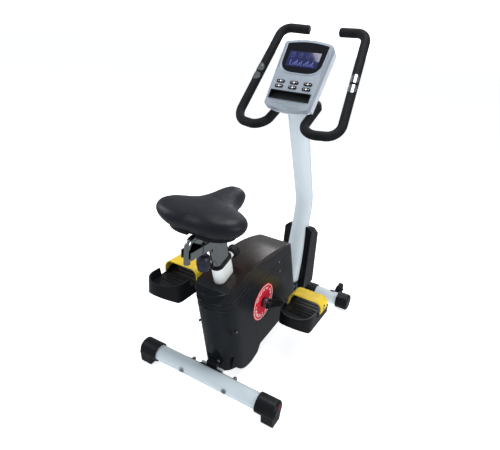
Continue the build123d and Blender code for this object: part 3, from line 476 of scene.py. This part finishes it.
def make_badges():
    """A ring and generic dashes on each badge disc, and the caps on the crank axle's ends."""
    crank = at(CRANK_X, 0, CRANK_Z)
    for side, name in ((-1, "right"), (1, "left")):
        face = crank + Y * side * (CASE_HALF + 1.8) * MM
        bm = bmesh.new()
        for step in range(BADGE_DASHES):
            if step % 9 == 4:
                continue
            angle = 2 * math.pi * step / BADGE_DASHES
            out = X * math.cos(angle) + Z * math.sin(angle)
            along = Z * math.cos(angle) - X * math.sin(angle)
            width = (6.5, 9.5, 7.5)[step % 3]
            centre = face + out * BADGE_DASH_OUT * MM
            add_box(bm, centre, (along, out, Y * side), (width * MM, 2.2 * MM, 0.8 * MM))
            lean = 1 if step % 2 else -1
            centre = face + out * BADGE_DASH_IN * MM + along * lean * width * 0.35 * MM
            add_box(bm, centre, (along, out, Y * side), (2.2 * MM, 8.5 * MM, 0.8 * MM))
        finish_piece(f"badge_marks_{name}", bm, MARKS, "frame")
        ring = arc_points(face, X, Z, BADGE_RING * MM, 0, 354, 60)
        bead(f"badge_ring_{name}", ring, 0.9 * MM, MARKS, "frame", closed=True)
    bm = bmesh.new()
    for side in (-1, 1):
        base = crank + Y * side * 93 * MM
        add_turned(bm, base, Y * side, [(0, 0), (11 * MM, 0), (11 * MM, 3 * MM), (8.5 * MM, 6 * MM),
                                        (3 * MM, 7.5 * MM), (0, 7.5 * MM)])
    finish_piece("crank_caps", bm, MOULDED, "crank")


# ---- console ------------------------------------------------------------------------
SLOPE = math.radians(55.3)
FACE_UP = Vector((math.cos(SLOPE), 0, math.sin(SLOPE)))
FACE_OUT = Vector((-math.sin(SLOPE), 0, math.cos(SLOPE)))
FACE_FOOT = at(375, 0, 910)
BUTTON_ROWS, BUTTON_COLUMNS = (94.5, 76.0), (50, 0, -50)    # up the face, and sideways


def on_face(y, up, out=0.0):
    """A point sideways and up the console's face, and out from it, in millimetres."""
    return FACE_FOOT + Y * y * MM + FACE_UP * up * MM + FACE_OUT * out * MM


def make_console():
    """Ribs and oval on the console's face, the window's rim, the display, and the button marks."""
    bm = bmesh.new()
    for side in (-1, 1):
        for step in range(30):
            up = 132 + step * 3.7
            centre = on_face(side * (81.3 + (up - 132) * 0.016), up, 0.2)
            along = (Y * side + FACE_UP * 0.45).normalized()
            add_box(bm, centre, (along, along.cross(FACE_OUT), FACE_OUT), (5.5 * MM, 1.5 * MM, 1.2 * MM))
    finish_piece("console_side_ribs", bm, CONSOLE, "frame")
    bm = bmesh.new()
    for step in range(11):
        y = -44 + step * 8.8
        room = math.sqrt(max(0.0, 1 - (y / 52) ** 2))
        slant = (FACE_UP * 0.6 + Y * 0.8).normalized()
        add_box(bm, on_face(y, 9, 0.2), (slant, slant.cross(FACE_OUT), FACE_OUT),
                (24 * room * MM, 2.4 * MM, 1.2 * MM))
    finish_piece("console_foot_ribs", bm, CONSOLE, "frame")
    oval = [on_face(54 * math.cos(a * math.pi / 24), 9 + 12.5 * math.sin(a * math.pi / 24), 0)
            for a in range(48)]
    bead("console_foot_oval", oval, 0.9 * MM, CONSOLE, "frame", closed=True)

    rim = [on_face(78, 239, 0)]
    for step in range(33):
        angle = math.pi * step / 32
        rim.append(on_face(76 * math.copysign(abs(math.cos(angle)) ** 0.55, math.cos(angle)),
                           168 - 40 * math.sin(angle) ** 0.8, 0))
    rim.append(on_face(-78, 239, 0))
    bead("window_rim", rim, 1.7 * MM, CONSOLE, "frame")

    bm = bmesh.new()
    add_box(bm, on_face(0, 183, 0.35), (Y, FACE_UP, FACE_OUT), (116 * MM, 58 * MM, 0.8 * MM))
    finish_piece("display_glass", bm, SCREEN, "frame", soften=0.3 * MM)
    bm = bmesh.new()
    for column in range(16):
        tall = 4 + 3.2 * ((column * 5) % 7)
        add_box(bm, on_face(-44 + column * 5.8, 158 + tall / 2, 0.85), (Y, FACE_UP, FACE_OUT),
                (4 * MM, tall * MM, 0.4 * MM))
    for column in range(4):
        for up in (190, 198, 206):
            add_box(bm, on_face(-42 + column * 28, up, 0.85), (Y, FACE_UP, FACE_OUT),
                    (9 * MM, 1.4 * MM, 0.4 * MM))
        for side in (-6, 6):
            for up in (194, 202):
                add_box(bm, on_face(-42 + column * 28 + side, up, 0.85), (Y, FACE_UP, FACE_OUT),
                        (1.4 * MM, 5.6 * MM, 0.4 * MM))
    finish_piece("display_segments", bm, SEGMENT, "frame")

    number = 1
    for up in BUTTON_ROWS:
        for y in BUTTON_COLUMNS:
            bm = bmesh.new()
            dot = [(0, 0), (3.2 * MM, 0), (3.2 * MM, 0.5 * MM), (2.0 * MM, 0.8 * MM), (0, 0.8 * MM)]
            add_turned(bm, on_face(y, up, 2.3), FACE_OUT, dot, 20)
            add_box(bm, on_face(y + 8, up, 2.6), (Y, FACE_UP, FACE_OUT), (5 * MM, 1.2 * MM, 0.6 * MM))
            add_box(bm, on_face(y - 8, up, 2.6), (Y, FACE_UP, FACE_OUT), (5 * MM, 1.2 * MM, 0.6 * MM))
            finish_piece(f"button_marks_{number}", bm, MARKS, f"button_{number}")
            number += 1


# ---- pedals, straps, feet and bar ----------------------------------------------------
CRANK_LENGTH, CRANK_ANGLE = 186, math.radians(27)
PEDAL_Y = 168
PEDAL_HALF = 66


def crank_end(side):
    """(x, z) of a pedal's axle; the left crank points back and up."""
    reach, rise = CRANK_LENGTH * math.cos(CRANK_ANGLE), CRANK_LENGTH * math.sin(CRANK_ANGLE)
    return (CRANK_X - side * reach, CRANK_Z + side * rise)


def make_pedal_details():
    """Treads on each footplate, and the strap's ribs, loose tail and studs."""
    for side, name in ((1, "left"), (-1, "right")):
        x, z = crank_end(side)
        middle = side * PEDAL_Y
        bm = bmesh.new()
        for step in range(7):
            add_box(bm, at(x - 52 + step * 19, middle, z + 10.6), (X, Y, Z),
                    (4 * MM, (92 - (step % 2) * 14) * MM, 3 * MM))
        finish_piece(f"pedal_treads_{name}", bm, MOULDED, f"pedal_{name}_body", soften=0.8 * MM)
        bm = bmesh.new()
        for step in range(9):
            add_box(bm, at(x - 6 + 6.5 * step, middle, z + 58.2), (X, Y, Z), (2.2 * MM, 86 * MM, 1.2 * MM))
        for edge in (-11, 57):
            add_box(bm, at(x + edge * 0.93, middle, z + 57.9), (X, Y, Z), (3 * MM, 100 * MM, 2.2 * MM))
        finish_piece(f"strap_ribs_{name}", bm, YELLOW, f"pedal_{name}_body", soften=0.5 * MM)
        inner = middle - side * PEDAL_HALF
        tail = [at(x + 22, inner + side * 1.5, z + 26), at(x + 24, inner - side * 3.5, z + 12),
                at(x + 26, inner - side * 7.5, z - 2), at(x + 28, inner - side * 8.5, z - 16),
                at(x + 29, inner - side * 5.0, z - 27)]
        ribbon(f"strap_tail_{name}", tail, X * 22 * MM, 2.4 * MM, YELLOW, f"pedal_{name}_body")
        bm = bmesh.new()
        for offset in (-28, 12):
            add_turned(bm, at(x + 20, middle + side * 67.2, z + 34 + offset * 0.3), Y * side,
                       [(0, 0), (4 * MM, 0), (4 * MM, 1 * MM), (2.4 * MM, 2.4 * MM), (0, 2.4 * MM)], 20)
        finish_piece(f"strap_studs_{name}", bm, MOULDED, f"pedal_{name}_body")


def make_foot_marks():
    for side, name in ((1, "left"), (-1, "right")):
        bm = bmesh.new()
        for step in range(3):
            add_box(bm, at(7 + step * 4.5, side * 272.2, 60 + step * 2.5), (X, Y, Z),
                    (2.6 * MM, 1.6 * MM, (9 - step * 1.5) * MM))
        finish_piece(f"foot_marks_{name}", bm, RED, f"foot_{name}", soften=0.4 * MM)


def make_bar_ends():
    bm = bmesh.new()
    for side in (1, -1):
        end = at(640, side * 62, 1156)
        inward = (end - at(627, side * 160, 1158)).normalized()
        add_turned(bm, end - inward * 1 * MM, inward,
                   [(0, 0), (15.4 * MM, 0), (15.4 * MM, 3 * MM), (13.5 * MM, 4.2 * MM), (4 * MM, 4.6 * MM),
                    (3 * MM, 3.8 * MM), (0, 3.8 * MM)])
    finish_piece("bar_end_plugs", bm, MOULDED, "bar")


# ---- floor, light and camera ---------------------------------------------------------
def stage_piece(name, bm, finish):
    """A white surface round the bike, which the bike's own reflections don't see."""
    mesh = bpy.data.meshes.new(name)
    bm.to_mesh(mesh)
    bm.free()
    mesh.materials.append(finish)
    piece = bpy.data.objects.new(name, mesh)
    bpy.context.scene.collection.objects.link(piece)
    piece.visible_glossy = False
    return piece


def make_stage():
    bm = bmesh.new()
    bmesh.ops.create_grid(bm, x_segments=8, y_segments=8, size=40)
    white = material("floor_white", (0.93, 0.94, 0.95), 0.8, mottle=0.01, grain=(80, 0.02), glow=0.75)
    floor = stage_piece("floor", bm, white)
    floor.location = (0, 0, -0.5 * MM)
    bm = bmesh.new()
    bmesh.ops.create_icosphere(bm, subdivisions=4, radius=34)
    white = material("backdrop_white", (0.98, 0.99, 1.0), 0.8, mottle=0.005, grain=(5, 0.02), glow=1.0)
    dome = stage_piece("backdrop", bm, white)
    dome.visible_diffuse = False
    dome.visible_shadow = False
    world = bpy.data.worlds.new("studio")
    world.use_nodes = True
    world.node_tree.nodes["Background"].inputs["Color"].default_value = (0.93, 0.96, 1.0, 1)
    world.node_tree.nodes["Background"].inputs["Strength"].default_value = 0.34
    bpy.context.scene.world = world
    bpy.context.scene.view_settings.view_transform = "Standard"
    lamps = {               # place, watts, size, colour
        "overhead": ((0.1, -0.3, 2.9), 50, 1.6, (1.0, 0.99, 0.97)),
        "left_bank": ((-1.2, 2.6, 1.7), 30, 1.2, (0.90, 0.95, 1.0)),
        "right_bank": ((-0.9, -2.8, 1.3), 26, 1.0, (1.0, 0.99, 0.98)),
        "back_bank": ((2.6, 0.6, 1.8), 16, 1.2, (0.95, 0.97, 1.0)),
    }
    aim = Vector((0, 0, 0.5))
    for name, (place, power, size, colour) in lamps.items():
        lamp = bpy.data.lights.new(name, "AREA")
        lamp.energy = power
        lamp.size = size
        lamp.color = colour
        holder = bpy.data.objects.new(name, lamp)
        holder.location = place
        holder.rotation_euler = (aim - Vector(place)).to_track_quat("-Z", "Y").to_euler()
        bpy.context.scene.collection.objects.link(holder)


CAMERA_PLACE = at(-996.3, -646.4, 1129.3)
CAMERA_TURN = (-61.797, 23.257, 5.2517)         # azimuth, elevation and roll in degrees
CAMERA_LENS, CAMERA_SENSOR = 32.12, 36


def make_camera():
    azimuth, elevation, roll = [math.radians(angle) for angle in CAMERA_TURN]
    back = Vector((math.sin(azimuth) * math.cos(elevation), -math.cos(azimuth) * math.cos(elevation),
                   math.sin(elevation)))
    level = Vector((math.cos(azimuth), math.sin(azimuth), 0))
    upright = back.cross(level)
    right = level * math.cos(roll) + upright * math.sin(roll)
    up = upright * math.cos(roll) - level * math.sin(roll)
    data = bpy.data.cameras.new("camera")
    data.sensor_width = CAMERA_SENSOR
    data.lens = CAMERA_LENS
    camera = bpy.data.objects.new("camera", data)
    turn = Matrix((right, up, back)).transposed().to_4x4()
    camera.matrix_world = Matrix.Translation(CAMERA_PLACE) @ turn
    bpy.context.scene.collection.objects.link(camera)
    bpy.context.scene.camera = camera


make_saddle()
make_casing_trim()
make_badges()
make_console()
make_pedal_details()
make_foot_marks()
make_bar_ends()
make_stage()
make_camera()
